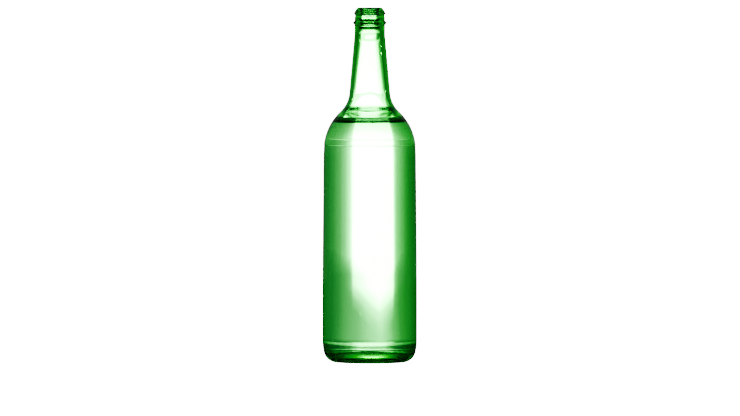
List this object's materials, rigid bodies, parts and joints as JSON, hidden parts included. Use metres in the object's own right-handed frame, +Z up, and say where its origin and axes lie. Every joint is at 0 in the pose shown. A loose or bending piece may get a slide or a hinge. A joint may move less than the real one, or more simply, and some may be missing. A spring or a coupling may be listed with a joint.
{
  "type": "glass bottle",
  "caption": "Slim round bottle of green glass with a long tapering neck, a rounded shoulder and a ringed mouth, filled with clear liquid up to the shoulder.",
  "frame": {"origin": "centre of the circle that the bottle stands on", "axes": "+Z up along the bottle's axis, from its base to its mouth; the bottle is round, so +X and +Y are free"},
  "size_m": [0.072, 0.072, 0.27],
  "materials": {
    "green_glass": "clear green moulded glass, polished by the fire, with a fine stipple on the ring that it stands on",
    "clear_liquid": "clear colourless liquid, still, with a flat surface"
  },
  "bodies": {
    "root": {"glass_bottle": "green_glass", "liquid_fill": "clear_liquid"}
  },
  "joints": []
}
